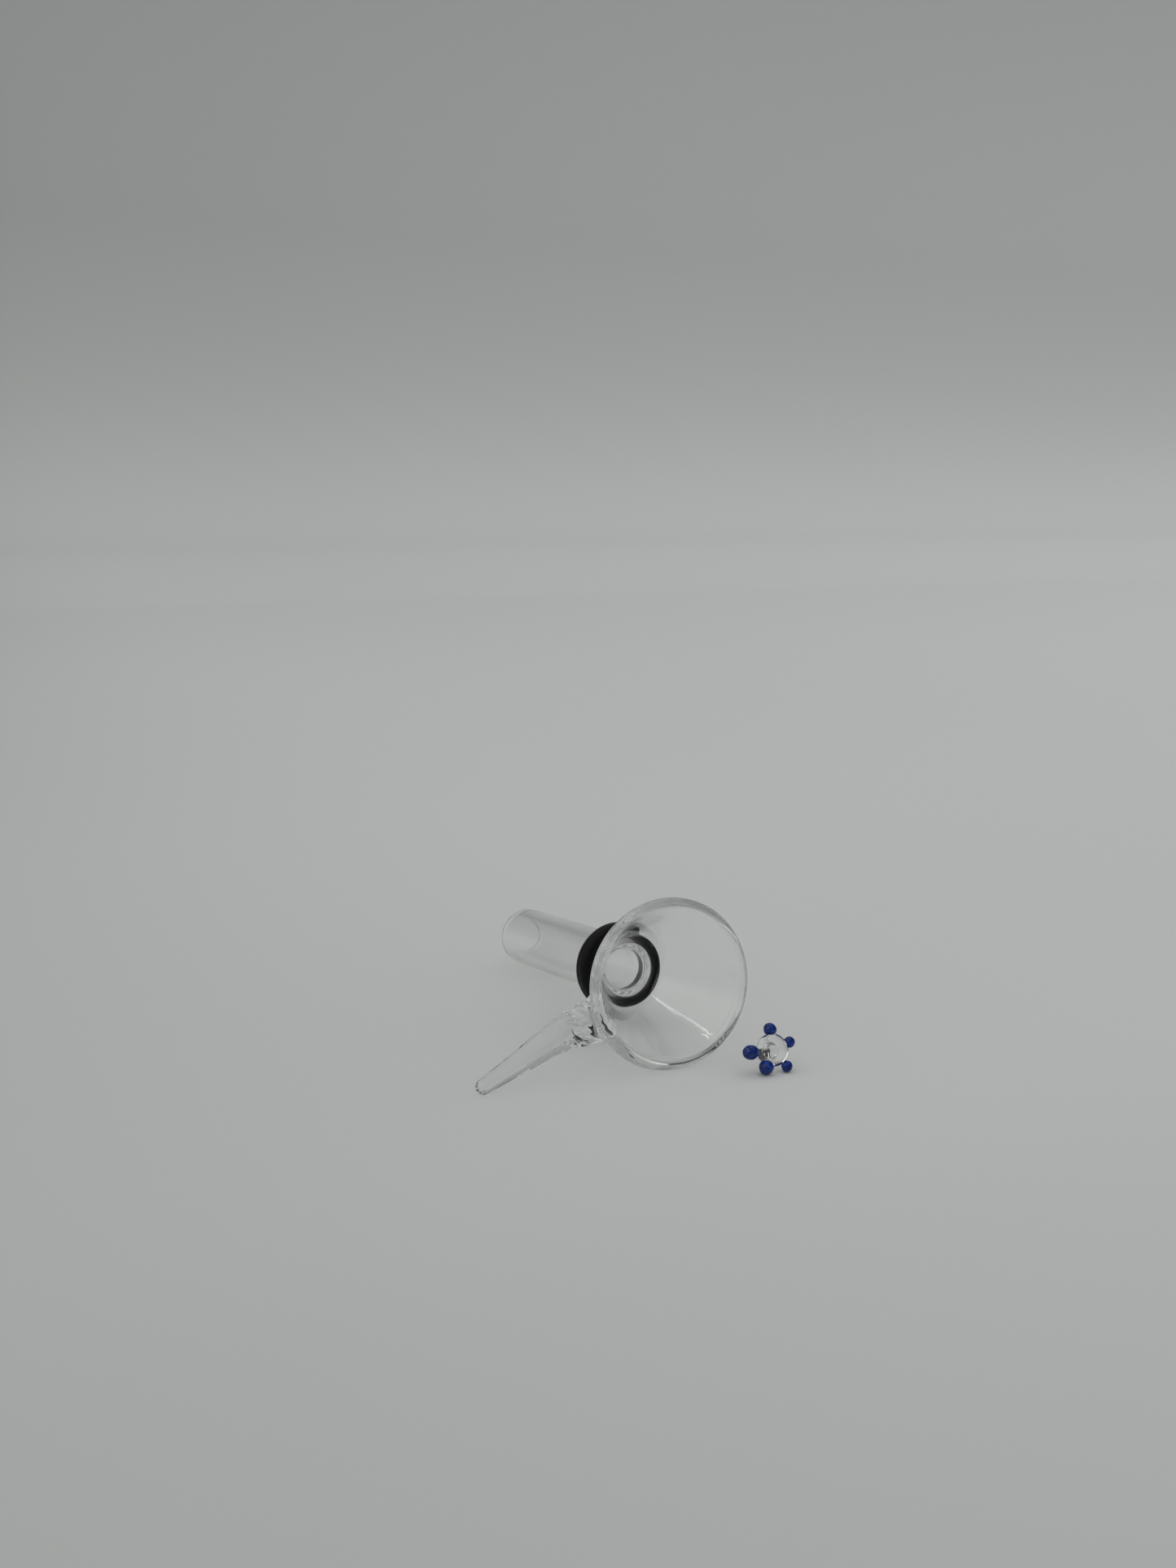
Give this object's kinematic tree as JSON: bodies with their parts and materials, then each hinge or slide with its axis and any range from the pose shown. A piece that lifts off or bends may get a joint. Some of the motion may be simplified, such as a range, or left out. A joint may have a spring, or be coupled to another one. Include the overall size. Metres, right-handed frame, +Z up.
{
  "type": "glass funnel slide",
  "caption": "Clear glass funnel with a straight stem and a tapered horn handle, a black rubber grommet on the stem, and a loose glass flower screen with blue dots.",
  "frame": {"origin": "middle of the part's footprint on the table it lies on", "axes": "+Z up from the table; +Y along the stem, away from the funnel's mouth; -X towards the handle's tip"},
  "size_m": [0.058, 0.085, 0.0311],
  "materials": {
    "clear_glass": "fire-polished borosilicate",
    "black_rubber": "satin moulded",
    "blue_glass": "fire-polished cobalt blue"
  },
  "bodies": {
    "slide": {"funnel_cone": "clear_glass", "neck_seal": "clear_glass", "stem_tube": "clear_glass", "handle_pad": "clear_glass", "handle_horn": "clear_glass"},
    "grommet": {"grommet": "black_rubber"},
    "flower_screen": {"screen_hub": "clear_glass", "screen_peg": "clear_glass", "screen_bead_1": "blue_glass", "screen_bead_2": "blue_glass", "screen_bead_3": "blue_glass", "screen_bead_4": "blue_glass", "screen_bead_5": "blue_glass"}
  },
  "joints": [
    {"name": "grommet_slide", "type": "slide", "parent": "slide", "child": "grommet", "axis": [0, 0.9911, -0.1334], "range_m": [0, 0.053]},
    {"name": "screen_lift", "type": "slide", "parent": "slide", "child": "flower_screen", "axis": [0, 0, 1], "range_m": [0, 0.05]}
  ]
}
